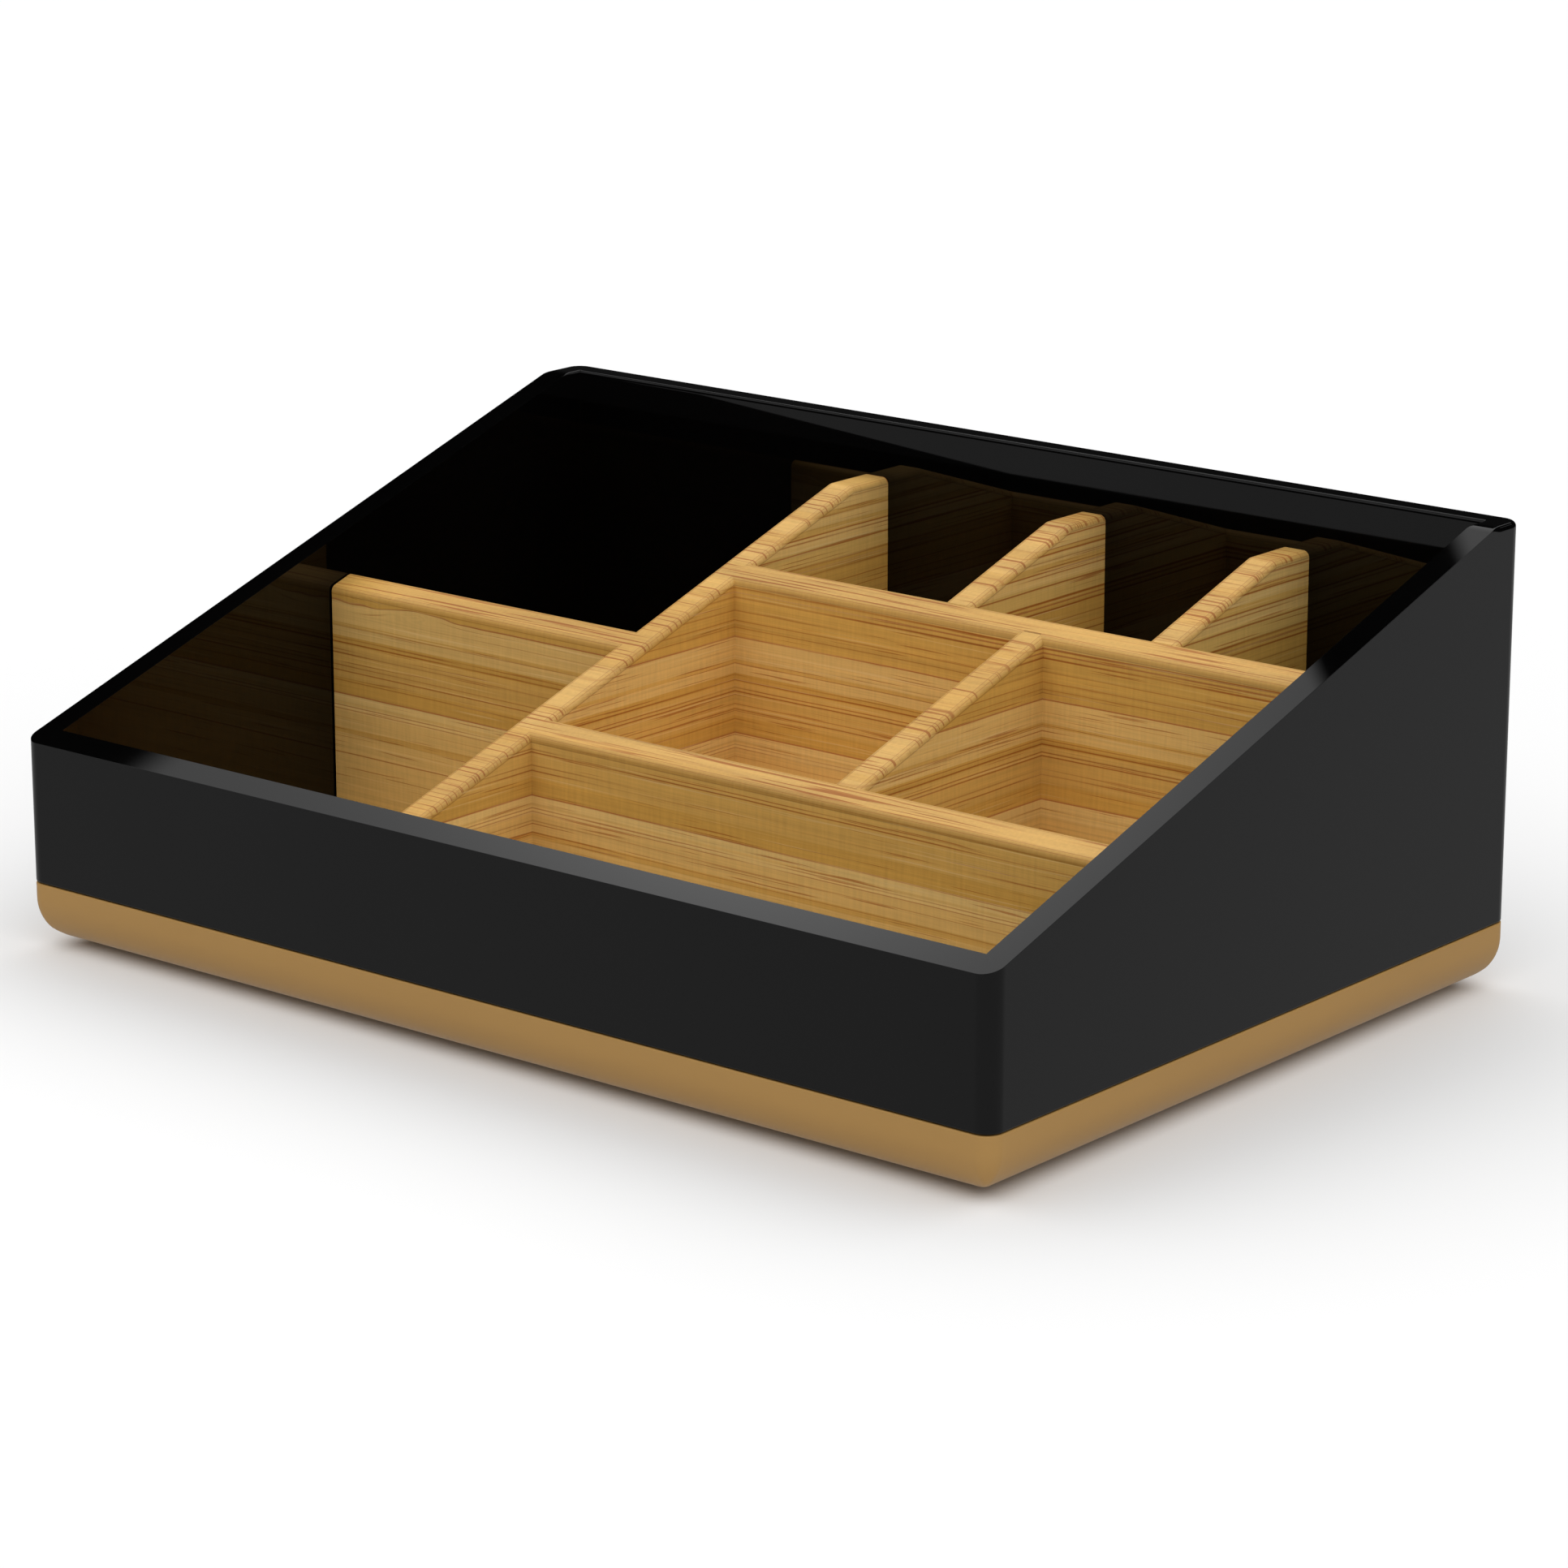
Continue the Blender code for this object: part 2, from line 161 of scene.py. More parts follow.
# %% Helpers that wire shader nodes
class Nodes:
    """The few moves that this script needs, on one tree of nodes."""

    def __init__(self, tree):
        self.tree = tree

    def add(self, kind, **settings):
        """A node of a kind, with some of its settings changed."""
        node = self.tree.nodes.new(kind)
        for setting, value in settings.items():
            setattr(node, setting, value)
        return node

    def plug(self, socket, value):
        """Link a socket into an input, or set the input to a plain value."""
        if isinstance(value, bpy.types.NodeSocket):
            self.tree.links.new(value, socket)
        else:
            socket.default_value = value

    def math(self, operation, *values, clamp=False):
        """The result of a Math node on sockets or numbers."""
        node = self.add("ShaderNodeMath", operation=operation, use_clamp=clamp)
        for socket, value in zip(node.inputs, values):
            self.plug(socket, value)
        return node.outputs[0]

    def vector(self, operation, *values):
        """The result of a Vector Math node: a number for a dot product or a length, else a vector."""
        node = self.add("ShaderNodeVectorMath", operation=operation)
        for socket, value in zip(node.inputs, values):
            self.plug(socket, value)
        return node.outputs["Value" if operation in ("DOT_PRODUCT", "LENGTH") else "Vector"]

    def split(self, vector):
        """A vector's X, Y and Z, to be picked by those names."""
        node = self.add("ShaderNodeSeparateXYZ")
        self.plug(node.inputs[0], vector)
        return node.outputs

    def noise(self, vector, waves, detail=2.0, roughness=0.5):
        """Smooth noise from about 0.25 to 0.75, with so many waves in a metre along X, Y and Z."""
        node = self.add("ShaderNodeTexNoise")
        self.plug(node.inputs["Vector"], self.vector("MULTIPLY", vector, waves))
        node.inputs["Scale"].default_value = 1.0
        node.inputs["Detail"].default_value = detail
        node.inputs["Roughness"].default_value = roughness
        return node.outputs["Fac"]

    def sway(self, value, noise, strength):
        """A value plus the strength times how far a noise is from its middle, 0.5."""
        return self.math("MULTIPLY_ADD", self.math("SUBTRACT", noise, 0.5), strength, value)

    def fit(self, value, low, high, to_low=0.0, to_high=1.0, smooth=True):
        """Map the range low..high to another, with soft ends, and clamp outside it."""
        node = self.add("ShaderNodeMapRange", interpolation_type="SMOOTHSTEP" if smooth else "LINEAR")
        for socket, number in zip(("Value", "From Min", "From Max", "To Min", "To Max"),
                                  (value, low, high, to_low, to_high)):
            self.plug(node.inputs[socket], number)
        return node.outputs["Result"]

    def mix(self, share, first, second, blend="MIX"):
        """Mix or blend two colours, given as sockets or as (red, green, blue)."""
        node = self.add("ShaderNodeMix", data_type="RGBA", blend_type=blend)
        self.plug(node.inputs["Factor"], share)
        for socket, value in ((node.inputs[6], first), (node.inputs[7], second)):
            self.plug(socket, value if isinstance(value, bpy.types.NodeSocket) else (*value, 1.0))
        return node.outputs[2]

    def ramp(self, value, stops, interpolation="LINEAR"):
        """A colour for a number from 0 to 1. Each stop has a place and a colour, and the places rise."""
        node = self.add("ShaderNodeValToRGB")
        node.color_ramp.interpolation = interpolation
        elements = node.color_ramp.elements
        elements[0].position, elements[1].position = stops[0][0], stops[-1][0]
        for place, colour in stops[1:-1]:
            elements.new(place)
        for element, (place, colour) in zip(elements, stops):
            element.color = (*colour, 1.0)
        self.plug(node.inputs[0], value)
        return node.outputs["Color"]


class Shading(Nodes):
    """A new Principled material."""

    def __init__(self, name, **values):
        self.material = bpy.data.materials.new(name)
        self.material.use_nodes = True
        super().__init__(self.material.node_tree)
        self.shader = self.tree.nodes["Principled BSDF"]
        self.finish(**values)
        self.place = self.add("ShaderNodeTexCoord").outputs["Object"]

    def bump(self, height, strength, distance):
        """Tilt the shading normal by a height."""
        node = self.add("ShaderNodeBump")
        node.inputs["Strength"].default_value = strength
        node.inputs["Distance"].default_value = distance
        self.plug(node.inputs["Height"], height)
        self.plug(self.shader.inputs["Normal"], node.outputs["Normal"])

    def finish(self, **sockets):
        """Plug results or plain values into the Principled shader's inputs."""
        for socket, value in sockets.items():
            self.plug(self.shader.inputs[socket.replace("_", " ")], value)
        return self.material


# %% [markdown]
# ## The studio: floor and daylight
#
# The photograph shows a white sweep with soft grey shadows and no horizon. A large pale disc gives
# that, with light enough on it to make it plain white.
#
# The shadows are wide and nearly alike on all sides, and the slats' tops are more than twice as bright
# as their faces. That is what a ring of soft boxes does, hung between 30 and 75 degrees up all round,
# with a weaker light lower down on the photographer's side. Lamps could be set out one by one. A sky
# whose glow is a formula of the direction is simpler, and has no bright patches: bright in the ring,
# dim straight overhead, and below the ring lit only in front. The horizon itself gives no light, so the
# shadow is darkest where the base meets the floor. Where the camera looks past the floor it sees plain
# white, as in a tent.

# %% Lay the floor and light the tent
bpy.context.scene.view_settings.view_transform = "Standard"

floor_radius = 6.0
floor_sides = 96
floor_tones = ((0.82, 0.82, 0.82), (0.83, 0.83, 0.83))
ring_glow = 1.62
overhead_glow = 0.5
front_glow = 0.80
front_middle = (0.70, -0.714, 0.0)
front_full = 0.6
# Heights of a direction, 0 at the horizon and 1 overhead, between which each light comes or goes
front_start = (0.0, 0.28)
ring_start = (0.46, 0.51)
ring_end = (0.95, 0.98)

floor_finish = Shading("pale_floor", Roughness=0.9, Specular_IOR_Level=0.0)
floor_shade = floor_finish.noise(floor_finish.place, (3.0, 3.0, 3.0))
floor_colour = floor_finish.mix(floor_shade, *floor_tones)
floor_mesh = bpy.data.meshes.new("floor")
floor_points = lifted(floor_radius * circle(floor_sides), 0.0)
floor_mesh.from_pydata(floor_points.tolist(), [], [list(range(floor_sides))])
floor_mesh.materials.append(floor_finish.finish(Base_Color=floor_colour))
floor = bpy.data.objects.new("floor", floor_mesh)
bpy.context.scene.collection.objects.link(floor)

world = bpy.data.worlds.new("light_tent")
world.use_nodes = True
tent = Nodes(world.node_tree)
sky = tent.add("ShaderNodeTexCoord").outputs["Generated"]
sky_height = tent.split(sky)["Z"]
ring = tent.ramp(sky_height, ((ring_start[0], (0.0,) * 3), (ring_start[1], (ring_glow,) * 3),
                              (ring_end[0], (ring_glow,) * 3), (ring_end[1], (overhead_glow,) * 3)))
front = tent.fit(tent.vector("DOT_PRODUCT", sky, front_middle), 0.0, front_full, 0.0, front_glow)
front = tent.math("MULTIPLY", front, tent.fit(sky_height, *front_start))
brighter = tent.mix(1.0, ring, front, "LIGHTEN")
camera_ray = tent.add("ShaderNodeLightPath").outputs["Is Camera Ray"]
tent.plug(tent.tree.nodes["Background"].inputs["Color"], tent.mix(camera_ray, brighter, (1.0, 1.0, 1.0)))
bpy.context.scene.world = world
print("ring glow", ring_glow, "overhead", overhead_glow, "front", front_glow)

# %% [markdown]
# ## What the gloss reflects
#
# Polished black has hardly any colour of its own: what the eye sees is the studio in it. In the
# photograph the level band at the back is dark, the sloped rim is bright, and the walls are an even
# dark grey. So the studio is dim below eye level, black above it, and has bright panels higher up.
#
# Real panels could stand round the object, but they would light the slats as well. Here one big dome
# holds them all and shows in reflections only. It is so wide that a reflection's direction alone says
# what is seen. Its glow is a formula of that direction: azimuth (0 along +Y, growing towards +X) and
# elevation, both in degrees.

# %% Draw the studio that shows in reflections
dome_radius = 60.0
dome_steps = 24
dome_reach = 0.4999 * math.pi
below_glow = 0.44
level_glow = (0.018, 0.010)
level_degrees = (-41.0, -34.0)
upper_glow = 0.002
dusk_degrees = (-9.0, -3.0)
dark_degrees = (14.0, 30.0)
panel_edge_degrees = 0.4
# Each panel's left, right, lower and upper edge, and its glow against the first one's
panels = (
    (-86.0, -58.5, 36.9, 66.0, 1.0),
    (-58.5, -46.7, 39.0, 66.0, 1.0),
    (-44.0, -12.0, 28.0, 66.0, 1.1),
    (12.0, 46.0, 30.0, 66.0, 0.9),
    (62.0, 96.0, 30.0, 66.0, 1.0),
    (112.0, 156.0, 30.0, 66.0, 1.0),
    (-150.0, -106.0, 30.0, 66.0, 1.0),
)
panel_glow = 0.66
hot_spot_direction = Vector((-0.615, 0.463, 0.639))
hot_spot_glow = 1.76
hot_spot_sharpness = 530.0

studio = Shading("studio_dome")
direction = studio.vector("NORMALIZE", studio.place)
parts = studio.split(direction)
azimuth = studio.math("DEGREES", studio.math("ARCTAN2", parts["X"], parts["Y"]))
elevation = studio.math("DEGREES", studio.math("ARCSINE", parts["Z"]))
level = studio.fit(azimuth, *level_degrees, *level_glow)
glow = studio.fit(elevation, *dark_degrees, level, upper_glow)
glow = studio.fit(elevation, *dusk_degrees, below_glow, glow)
closeness = studio.vector("DOT_PRODUCT", direction, hot_spot_direction.normalized())
fall = studio.math("MULTIPLY", studio.math("SUBTRACT", closeness, 1.0), hot_spot_sharpness)
hot = studio.math("MULTIPLY_ADD", studio.math("EXPONENT", fall), hot_spot_glow, panel_glow)


def between(degrees, low, high):
    """1 from low to high and 0 outside, with soft ends."""
    rising = studio.fit(degrees, low, low + panel_edge_degrees)
    falling = studio.fit(degrees, high, high + panel_edge_degrees, 1.0, 0.0)
    return studio.math("MULTIPLY", rising, falling)


for left, right, lower, upper, gain in panels:
    inside = studio.math("MULTIPLY", between(azimuth, left, right), between(elevation, lower, upper))
    glow = studio.math("MULTIPLY_ADD", studio.math("MULTIPLY", inside, hot), gain, glow)
emission = studio.add("ShaderNodeEmission")
studio.plug(emission.inputs["Strength"], glow)
studio.plug(studio.tree.nodes["Material Output"].inputs["Surface"], emission.outputs[0])
studio.material.cycles.emission_sampling = "NONE"

rise = np.linspace(-dome_reach, dome_reach, dome_steps)[:, None]
turn = np.linspace(0, math.tau, 2 * dome_steps, endpoint=False)[None, :]
dome_rings = dome_radius * np.stack([np.cos(rise) * np.cos(turn), np.cos(rise) * np.sin(turn),
                                     np.sin(rise) + 0 * turn], axis=-1)
dome = add_surface("studio_dome", [grid_solid(dome_rings)], studio.material)
for ray in ("camera", "diffuse", "transmission", "volume_scatter", "shadow"):
    setattr(dome, "visible_" + ray, False)
floor.visible_glossy = False

# %% [markdown]
# ## The sizes that all pieces share
#
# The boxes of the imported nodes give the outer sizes. The rim needs a little more: it slopes up from
# the front and runs into a level band along the back, through a short arc.

# %% Measure the frame and describe the rim
shell_low, shell_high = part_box("outer_shell")
base_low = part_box("base_board")[0]
panel_low, panel_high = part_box("floor_panel")
long_low, long_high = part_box("long_divider")
half_width, half_depth = shell_high.x, shell_high.y

touch_gap = 0.3 * millimetre
seam_height = panel_high.z
wall = 6.0 * millimetre
skirt_inset = wall / 2
corner_radius = 4.0 * millimetre
front_rim_height = 31.6 * millimetre
band_depth = 10.7 * millimetre
band_blend_radius = 13.0 * millimetre

band_height = shell_high.z
slope = (band_height - seam_height - front_rim_height) / (2 * half_depth - band_depth)
slope_angle = math.atan(slope)
blend_tangent = band_blend_radius * math.tan(slope_angle / 2)
band_front = half_depth - band_depth
blend_front = band_front - blend_tangent * math.cos(slope_angle)
blend_rear = band_front + blend_tangent


def rim_height(y):
    """Height of the rim: a straight slope, then an arc tangent to it, then level."""
    sloped = seam_height + front_rim_height + slope * (y + half_depth)
    drop = band_blend_radius ** 2 - np.clip(blend_rear - y, 0, band_blend_radius) ** 2
    blended = band_height - band_blend_radius + np.sqrt(drop)
    return np.where(y < blend_front, sloped, blended)


def rim_steepness(y):
    """Rise of the rim for each metre towards the back."""
    reach = np.clip(blend_rear - y, 0, band_blend_radius * math.sin(slope_angle))
    return reach / np.sqrt(band_blend_radius ** 2 - reach ** 2)


print("rim slopes", round(math.degrees(slope_angle), 1), "degrees")

# %% [markdown]
# ## Outlines and rounded edges
#
# Walls, base and lugs follow a rectangle with rounded corners. `outline` walks round it once, and gives
# each point and the direction that the wall faces there. Two outlines with the same stations, one for
# the outside and one for the inside, make a wall.
#
# A bevel modifier could round the edges. Working them out keeps each radius exact, and lets it change
# along the rim: the real case has a soft band at the back and crisp edges on the slope.

# %% Walk round a rectangle and round an edge
support = 0.15 * millimetre


def outline(half_x, half_y, radius, corner_steps, side_places=(), front_places=()):
    """Points and facing directions round a rectangle: four quarter circles joined by straight sides.

    A corner's points are its centre plus the radius times (cos, sin) of the angle. A side's points are
    the places asked for, held just inside the side's straight part, so two outlines keep in step.
    """
    points, facings = [], []
    turns = np.linspace(0, math.pi / 2, corner_steps + 1)
    straight_x, straight_y = half_x - radius - support, half_y - radius - support
    fronts = np.clip(np.array([-1.0, *front_places, 1.0]), -straight_x, straight_x)
    sides = np.clip(np.array([-1.0, *side_places, 1.0]), -straight_y, straight_y)
    corners = ((math.pi, -1, -1), (1.5 * math.pi, 1, -1), (0.0, 1, 1), (0.5 * math.pi, -1, 1))
    for start, sign_x, sign_y in corners:
        ways = np.stack([np.cos(start + turns), np.sin(start + turns)], axis=1)
        centre = np.array([sign_x * (half_x - radius), sign_y * (half_y - radius)])
        points.append(centre + radius * ways)
        facings.append(ways)
        if sign_x * sign_y > 0:
            along = fronts if sign_y < 0 else fronts[::-1]
            points.append(np.stack([along, 0 * along + sign_y * half_y], axis=1))
        else:
            along = sides if sign_x > 0 else sides[::-1]
            points.append(np.stack([0 * along + sign_x * half_x, along], axis=1))
        facings.append(np.broadcast_to(ways[-1], (len(along), 2)))
    return np.concatenate(points), np.concatenate(facings)


def rounded_edge(steepness, radius, steps):
    """An arc from an upright wall to a top that rises away from it, as depths and heights.

    Depth runs from the wall's face into the piece, and height from the sharp corner. The arc turns by
    90 degrees less the top's angle, and starts below the corner by radius times tan(half the turn).
    """
    full_turn = math.pi / 2 - np.arctan(steepness)
    turn = full_turn[:, None] * np.linspace(0, 1, steps + 1)[None, :]
    start = radius * np.tan(full_turn / 2)
    depth = radius[:, None] * (1 - np.cos(turn))
    height = radius[:, None] * np.sin(turn) - start[:, None]
    return depth, height


# %% [markdown]
# ## The case's finish
#
# The case is polished black, most likely cast acrylic. Its colour is nearly nothing, and the polish is
# so good that slats are mirrored in the inner walls. The mirrored slats are dim in the photograph, so
# the index of refraction is set a little under that of plain acrylic. A little uneven polish keeps it
# from looking computed: the roughness drifts slowly and fine rub marks add to it.

# %% Make the polished black
gloss = Shading("gloss_black_polish", IOR=1.38)
drift = gloss.noise(gloss.place, (22.0, 22.0, 22.0))
rub_marks = gloss.noise(gloss.place, (2500.0, 2500.0, 300.0), detail=3.0)
polish = gloss.math("MULTIPLY_ADD", drift, 0.02, gloss.math("MULTIPLY", rub_marks, 0.02))
black = gloss.mix(drift, (0.0004, 0.0004, 0.0004), (0.0014, 0.0013, 0.0013))
gloss.bump(gloss.noise(gloss.place, (60.0, 60.0, 60.0)), 0.02, 0.02 * millimetre)
gloss_black = gloss.finish(Base_Color=black, Roughness=polish)

# %% [markdown]
# ## The case
#
# The case is one wall that runs round all four sides. Its cross-section is a closed ring of points:
# up the outside, over the rim with two rounded edges, and down the inside to a thin skirt that laps
# into the base. The section is worked out at every station at once, with the rim's height taken where
# each point stands. Four square lugs at the skirt's corners take the screws, below the floor panel.

# %% Model the case
corner_steps = 20
edge_steps = 8
blend_steps = 12
inner_corner_radius = 0.02 * millimetre
outer_edge_radii = (0.04 * millimetre, 1.2 * millimetre)
inner_edge_radii = (0.005 * millimetre, 0.85 * millimetre)
seam_edge_radius = 0.25 * millimetre
seam_edge_steps = 3

blend_places = np.linspace(blend_front, blend_rear, blend_steps + 1)
side_places = (-0.5 * half_depth, 0.0, 0.5 * half_depth,
               blend_front - support, *blend_places, blend_rear + support)
front_places = (-0.5 * half_width, 0.0, 0.5 * half_width)


def edge_radius(radii, y):
    """The rim's small radius on the slope and its larger one on the band, blended along the arc."""
    share = np.clip((y - blend_front) / (blend_rear - blend_front), 0, 1)
    return radii[0] + (radii[1] - radii[0]) * share * share * (3 - 2 * share)


def wall_sections():
    """Rings of points across the wall, one for each station round the case."""
    outer, facing = outline(half_width, half_depth, corner_radius, corner_steps, side_places, front_places)
    inner = outline(half_width - wall, half_depth - wall, inner_corner_radius, corner_steps,
                    side_places, front_places)[0]
    outer_y, inner_y = outer[:, 1], inner[:, 1]
    outer_radius = edge_radius(outer_edge_radii, outer_y)
    inner_radius = edge_radius(inner_edge_radii, inner_y)
    outer_in, outer_up = rounded_edge(-rim_steepness(outer_y) * facing[:, 1], outer_radius, edge_steps)
    inner_in, inner_up = rounded_edge(rim_steepness(inner_y) * facing[:, 1], inner_radius, edge_steps)
    outer_support, inner_support = np.minimum(outer_radius, support), np.minimum(inner_radius, support)
    outer_top, inner_top = rim_height(outer_y), rim_height(inner_y)
    bottom, ledge = shell_low.z, seam_height + touch_gap
    ring = []

    def put(origin, inward, height):
        """Add one point of the section at every station."""
        place = origin - facing * np.broadcast_to(inward, outer_y.shape)[:, None]
        ring.append(np.concatenate([place, np.broadcast_to(height, outer_y.shape)[:, None]], axis=1))

    for turn in np.linspace(0, math.pi / 2, seam_edge_steps + 1):
        put(outer, seam_edge_radius * (1 - math.sin(turn)), ledge + seam_edge_radius * (1 - math.cos(turn)))
    put(outer, 0, ledge + seam_edge_radius + support)
    put(outer, 0, outer_top + outer_up[:, 0] - outer_support)
    for step in range(edge_steps + 1):
        put(outer, outer_in[:, step], outer_top + outer_up[:, step])
    reach = outer_in[:, -1] + outer_support
    put(outer, reach, rim_height(outer_y - facing[:, 1] * reach))
    reach = inner_in[:, -1] + inner_support
    put(inner, -reach, rim_height(inner_y + facing[:, 1] * reach))
    for step in range(edge_steps, -1, -1):
        put(inner, -inner_in[:, step], inner_top + inner_up[:, step])
    put(inner, 0, inner_top + inner_up[:, 0] - inner_support)
    put(inner, 0, bottom)
    put(outer, skirt_inset, bottom)
    put(outer, skirt_inset, ledge)
    return np.stack(ring, axis=1)


lug_side = 16.0 * millimetre
lug_bury = 0.5 * millimetre
lug_top = panel_low.z - touch_gap
screw_inset = 9.5 * millimetre
pilot_radius = 1.8 * millimetre
lug_stations = 48


def lug(sign_x, sign_y):
    """A square block with a round hole: each station joins a point of the square to one of the circle."""
    way = circle(lug_stations)
    half = (lug_side + lug_bury) / 2
    square = way * (half / np.abs(way).max(axis=1))[:, None]
    corner = np.array([sign_x * (half_width - wall), sign_y * (half_depth - wall)])
    inwards = -np.array([sign_x, sign_y])
    block = corner + inwards * (half - lug_bury) + square
    hole = corner + inwards * screw_inset + pilot_radius * way
    levels = ((block, shell_low.z), (block, lug_top), (hole, lug_top), (hole, shell_low.z))
    return np.stack([lifted(plan, height) for plan, height in levels], axis=1)


corner_signs = ((-1, -1), (1, -1), (-1, 1), (1, 1))
case_solids = [grid_solid(wall_sections(), rows_close=True)]
case_solids += [grid_solid(lug(*signs), rows_close=True) for signs in corner_signs]
case_walls = add_surface("case_walls", case_solids, gloss_black)
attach(case_walls, "case")
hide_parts("outer_shell")

# %% [markdown]
# ## The base
#
# The base is a board with a wide round along its lower edge, lacquered in satin tan. The lacquer is
# thick enough to hide the grain, with a faint cloudiness and the finest orange peel.
#
# It is a stack of outlines. Each one is drawn in and lifted along a quarter circle, then the side goes
# straight up to a hair-fine round at the seam. Inside, a narrow rim takes the case's skirt, and a seat
# with a notch for each lug carries the floor panel.
#
# Underneath there are four shallow recesses for the feet, and four stepped holes for the screws. A grid
# of rings can't branch, so these are drilled: turned drills are taken out of the board.

# %% Make the tan lacquer and model the base
lacquer = Shading("tan_lacquer_satin", IOR=1.45)
cloud = lacquer.noise(lacquer.place, (14.0, 14.0, 40.0), detail=4.0)
peel = lacquer.noise(lacquer.place, (1400.0, 1400.0, 1400.0), detail=2.0)
tan = lacquer.mix(cloud, (0.360, 0.200, 0.0540), (0.430, 0.240, 0.0645))
lacquer.bump(peel, 0.05, 0.05 * millimetre)
satin = lacquer.fit(cloud, 0.2, 0.8, 0.40, 0.48)
tan_lacquer = lacquer.finish(Base_Color=tan, Roughness=satin)

base_edge_radius = 9.9 * millimetre
base_corner_least = 1.2 * millimetre
base_edge_steps = 20
base_top_radius = 0.3 * millimetre
base_top_steps = 4
rim_inset = skirt_inset - touch_gap
sunk_height = shell_low.z - touch_gap
seat_root = (base_low.z + sunk_height) / 2

turns = np.linspace(0, math.pi / 2, base_edge_steps + 1)
insets = list(base_edge_radius * (1 - np.sin(turns)))
heights = list(base_low.z + base_edge_radius * (1 - np.cos(turns)))
insets = [insets[0] + support] + insets + [0.0, 0.0]
heights = [heights[0]] + heights + [heights[-1] + support, seam_height - base_top_radius - support]
for turn in np.linspace(0, math.pi / 2, base_top_steps + 1):
    insets.append(base_top_radius * (1 - math.cos(turn)))
    heights.append(seam_height - base_top_radius * (1 - math.sin(turn)))
insets += [base_top_radius + support, rim_inset, rim_inset]
heights += [seam_height, seam_height, sunk_height]


def base_ring(inset, height):
    """The base's outline, drawn in by an inset, at a height."""
    radius = max(corner_radius - inset, base_corner_least)
    plan = outline(half_width - inset, half_depth - inset, radius, corner_steps)[0]
    return lifted(plan, height)


def seat_plan():
    """The seat's outline: a rectangle inside the walls with a notch at each corner for the lug."""
    near_x, near_y = half_width - wall - touch_gap, half_depth - wall - touch_gap
    notch_x, notch_y = near_x - lug_side, near_y - lug_side
    return np.array([(-notch_x, -near_y), (notch_x, -near_y), (notch_x, -notch_y), (near_x, -notch_y),
                     (near_x, notch_y), (notch_x, notch_y), (notch_x, near_y), (-notch_x, near_y),
                     (-notch_x, notch_y), (-near_x, notch_y), (-near_x, -notch_y), (-notch_x, -notch_y)])


drill_stations = 48
overrun = 2.0 * millimetre
foot_inset = 32.0 * millimetre
screw_way = wall + screw_inset
recess_radius, recess_depth = 7.3 * millimetre, 1.8 * millimetre
head_radius, head_depth = 3.2 * millimetre, 2.6 * millimetre
# Each drill's radii, and how far above the base's underside it has them
foot_drill = ((recess_radius, -overrun), (recess_radius, recess_depth))
screw_drill = ((head_radius, -overrun), (head_radius, head_depth),
               (pilot_radius, head_depth), (pilot_radius, sunk_height - base_low.z + overrun))


def drill(inset, sign_x, sign_y, profile):
    """A turned solid, so far in from both sides of a corner."""
    middle = np.array([sign_x * (half_width - inset), sign_y * (half_depth - inset)])
    return grid_solid(np.stack([lifted(middle + radius * circle(drill_stations), base_low.z + height)
                                for radius, height in profile]))


def drilled(solid, bits):
    """A solid with others taken out of it, again as points and faces."""
    body = add_surface("undrilled", [solid], tan_lacquer)
    bits = add_surface("drills", bits, tan_lacquer)
    cut = body.modifiers.new("drilling", "BOOLEAN")
    cut.operation, cut.solver, cut.object = "DIFFERENCE", "EXACT", bits
    mesh = bpy.data.meshes.new_from_object(body.evaluated_get(bpy.context.evaluated_depsgraph_get()))
    points = np.empty(3 * len(mesh.vertices))
    mesh.vertices.foreach_get("co", points)
    faces = [list(polygon.vertices) for polygon in mesh.polygons]
    for spare in (body, bits):
        bpy.data.objects.remove(spare)
    return points.reshape(-1, 3), faces


board = np.stack([base_ring(inset, height) for inset, height in zip(insets, heights)])
seat = np.stack([lifted(seat_plan(), height) for height in (seat_root, panel_low.z - touch_gap)])
drills = []
for signs in corner_signs:
    drills += [drill(foot_inset, *signs, foot_drill), drill(screw_way, *signs, screw_drill)]
base_body = add_surface("base_body", [drilled(grid_solid(board), drills), grid_solid(seat)], tan_lacquer)
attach(base_body, "case")
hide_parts("base_board")

# %% [markdown]
# ## The slats' finish
#
# Laminated bamboo is built up in thin level layers, pale and golden by turns, with fine red-brown lines
# where fibres lie close. That calls for a solid pattern: a colour for each height, so a line runs round
# a corner from one slat to the next.
#
# A wave texture would give even stripes. The real layers have a rhythm of their own, so their heights
# are listed: first the tones, then the clearest lines.

# %% List the bamboo's layers and lines
layer_low, layer_high = 20.0, 92.0
golden = (0.61, 0.350, 0.076)
honey = (0.65, 0.388, 0.100)
olive = (0.67, 0.425, 0.120)
straw = (0.725, 0.470, 0.155)
cream = (0.77, 0.530, 0.195)
# Height above the table where a layer starts, in millimetres, and its tone
layers = (
    (20.0, straw), (30.4, honey), (31.6, straw), (35.8, cream), (37.2, straw), (37.9, cream),
    (39.9, golden), (43.4, honey), (51.4, golden), (53.3, straw), (55.6, honey), (56.3, straw),
    (61.9, golden), (71.2, straw), (71.6, golden), (72.6, olive), (76.4, straw), (79.0, honey),
    (80.6, straw), (82.6, honey), (83.8, straw),
)
